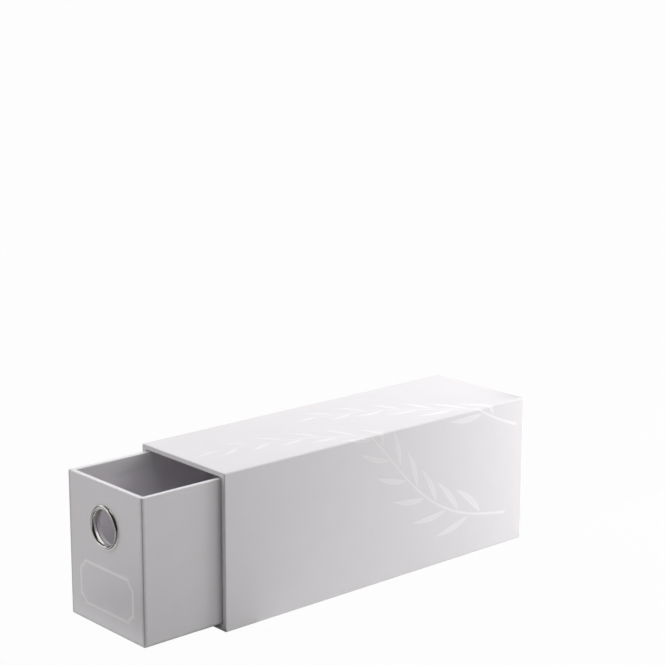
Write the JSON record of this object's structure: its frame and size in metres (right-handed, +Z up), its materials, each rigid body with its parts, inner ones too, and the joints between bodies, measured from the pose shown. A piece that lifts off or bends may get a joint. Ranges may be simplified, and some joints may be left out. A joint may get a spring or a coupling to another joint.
{
  "type": "card drawer box",
  "caption": "Paper-covered board box for cards: an open-ended sleeve with a pull-out drawer, drawn by a round metal finger ring in the drawer's front.",
  "frame": {"origin": "middle of the sleeve's underside, where it stands on the table", "axes": "+Z up, the drawer pulls out towards -Y, +X to the right of someone facing the drawer's front"},
  "size_m": [0.087, 0.3344, 0.1059],
  "materials": {
    "printed_paper": "satin",
    "plain_paper": "matte",
    "greyboard": "matte",
    "gummed_tape": "matte",
    "nickel": "polished"
  },
  "bodies": {
    "sleeve": {"sleeve_back_board": "greyboard", "sleeve_back_lining": "plain_paper", "sleeve_back_sheet": "printed_paper", "sleeve_base_sheet": "plain_paper", "sleeve_bottom_board": "greyboard", "sleeve_left_board": "greyboard", "sleeve_lining": "plain_paper", "sleeve_right_board": "greyboard", "sleeve_stay_bottom_left": "gummed_tape", "sleeve_stay_bottom_right": "gummed_tape", "sleeve_stay_top_left": "gummed_tape", "sleeve_stay_top_right": "gummed_tape", "sleeve_top_board": "greyboard", "sleeve_wrap": "printed_paper"},
    "drawer": {"drawer_back_board": "greyboard", "drawer_base_sheet": "plain_paper", "drawer_bottom_board": "greyboard", "drawer_floor_lining": "plain_paper", "drawer_front_board": "greyboard", "drawer_left_board": "greyboard", "drawer_lining": "plain_paper", "drawer_right_board": "greyboard", "drawer_stay_back_left": "gummed_tape", "drawer_stay_back_right": "gummed_tape", "drawer_stay_front_left": "gummed_tape", "drawer_stay_front_right": "gummed_tape", "drawer_wrap": "printed_paper", "finger_ring": "nickel", "ring_washer": "nickel"}
  },
  "joints": [
    {"name": "drawer_slide", "type": "slide", "parent": "sleeve", "child": "drawer", "axis": [0, -1, 0], "range_m": [-0.0605, 0.1895]}
  ]
}
